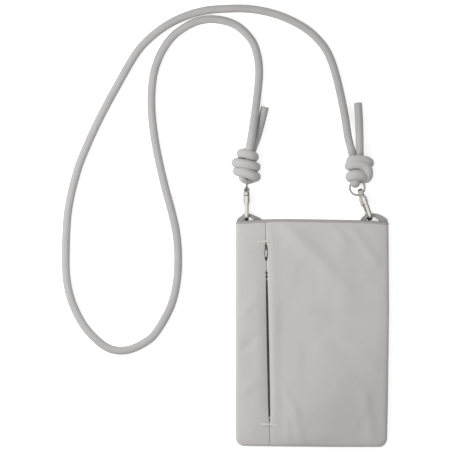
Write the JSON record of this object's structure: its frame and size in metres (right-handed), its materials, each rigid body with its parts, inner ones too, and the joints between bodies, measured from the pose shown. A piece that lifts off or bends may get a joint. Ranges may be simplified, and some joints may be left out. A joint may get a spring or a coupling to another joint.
{
  "type": "accessory pouch",
  "caption": "Flat rectangular fabric pouch with an open top, a slit zip pocket down the front, corner loops, snap hooks and a knotted cord strap.",
  "frame": {"origin": "on the surface that the pouch lies on, under the middle of the pouch and its loops", "axes": "+Y from the pouch's base to its mouth, +Z out of its front panel, +X to the right as the front is seen"},
  "size_m": [0.2848, 0.3852, 0.0196],
  "materials": {
    "shell_cloth": "matte woven nylon, warm light grey",
    "lining_cloth": "plain lining cloth",
    "thread": "pale sewing thread",
    "zip_cloth": "woven zip tape and coil, dark grey",
    "zip_metal": "satin plated metal",
    "nickel": "bright nickel plate",
    "spring_steel": "bare spring wire",
    "cord_cloth": "fine braided cord, neutral grey"
  },
  "bodies": {
    "pouch": {"back_panel": "shell_cloth", "front_panel_wide": "shell_cloth", "front_panel_narrow": "shell_cloth", "front_hem": "shell_cloth", "back_hem": "shell_cloth", "slit_facing_left": "shell_cloth", "slit_facing_right": "shell_cloth", "loop_left": "shell_cloth", "loop_right": "shell_cloth", "seam_binding": "lining_cloth", "lining_sack": "lining_cloth", "pocket_ply_back": "lining_cloth", "pocket_ply_front": "lining_cloth", "bar_tack_top": "thread", "bar_tack_bottom": "thread", "zip_tape_left": "zip_cloth", "zip_tape_right": "zip_cloth", "zip_coil_left": "zip_cloth", "zip_coil_right": "zip_cloth", "zip_top_stop_left": "zip_metal", "zip_top_stop_right": "zip_metal", "zip_bottom_stop": "zip_metal"},
    "strap": {"strap_cord": "cord_cloth", "knot_left": "cord_cloth", "knot_right": "cord_cloth", "tail_left": "cord_cloth", "tail_right": "cord_cloth", "swivel_eye_left": "nickel", "swivel_eye_right": "nickel"},
    "hook_left": {"hook_body_left": "nickel", "gate_pin_left": "nickel", "gate_spring_left": "spring_steel"},
    "hook_right": {"hook_body_right": "nickel", "gate_pin_right": "nickel", "gate_spring_right": "spring_steel"},
    "lever_left": {"gate_left": "nickel"},
    "lever_right": {"gate_right": "nickel"},
    "ring_left": {"ring_left": "nickel"},
    "ring_right": {"ring_right": "nickel"},
    "slider": {"zip_slider": "zip_metal"},
    "pull": {"zip_pull": "zip_metal"}
  },
  "joints": [
    {"name": "strap_swing", "type": "hinge", "parent": "pouch", "child": "strap", "pos_m": [-0.0571, 0.1003, 0.0075], "axis": [1, 0, 0], "range_deg": [0, 85]},
    {"name": "hook_swivel_left", "type": "hinge", "parent": "strap", "child": "hook_left", "pos_m": [-0.0571, 0.1003, 0.0075], "axis": [0, 1, 0], "range_deg": [-22, 22]},
    {"name": "hook_swivel_right", "type": "hinge", "parent": "strap", "child": "hook_right", "pos_m": [0.0492, 0.1003, 0.0075], "axis": [-0.3322, 0.9432, 0], "range_deg": [-36, 8]},
    {"name": "gate_left", "type": "hinge", "parent": "hook_left", "child": "lever_left", "pos_m": [-0.0571, 0.1125, 0.0051], "axis": [-1, 0, 0], "range_deg": [0, 26], "stiffness_Nm_per_rad": 0.01, "springref_deg": -34.38, "deforming": ["gate_spring_left"]},
    {"name": "gate_right", "type": "hinge", "parent": "hook_right", "child": "lever_right", "pos_m": [0.0446, 0.11161, 0.00517], "axis": [-0.9152, -0.3223, 0.2419], "range_deg": [0, 26], "stiffness_Nm_per_rad": 0.01, "springref_deg": -34.38, "deforming": ["gate_spring_right"]},
    {"name": "ring_turn_left", "type": "hinge", "parent": "strap", "child": "ring_left", "pos_m": [-0.0571, 0.1284, 0.00765], "axis": [1, 0, 0], "continuous": true},
    {"name": "ring_turn_right", "type": "hinge", "parent": "strap", "child": "ring_right", "pos_m": [0.03915, 0.12413, 0.0075], "axis": [0, 0, 1], "continuous": true},
    {"name": "zip_slide", "type": "slide", "parent": "pouch", "child": "slider", "axis": [0.02, -0.9998, 0], "range_m": [0, 0.142]},
    {"name": "zip_pull_tilt", "type": "hinge", "parent": "slider", "child": "pull", "pos_m": [-0.04012, 0.0717, 0.015], "axis": [-0.9998, -0.02, 0], "range_deg": [0, 130]}
  ]
}
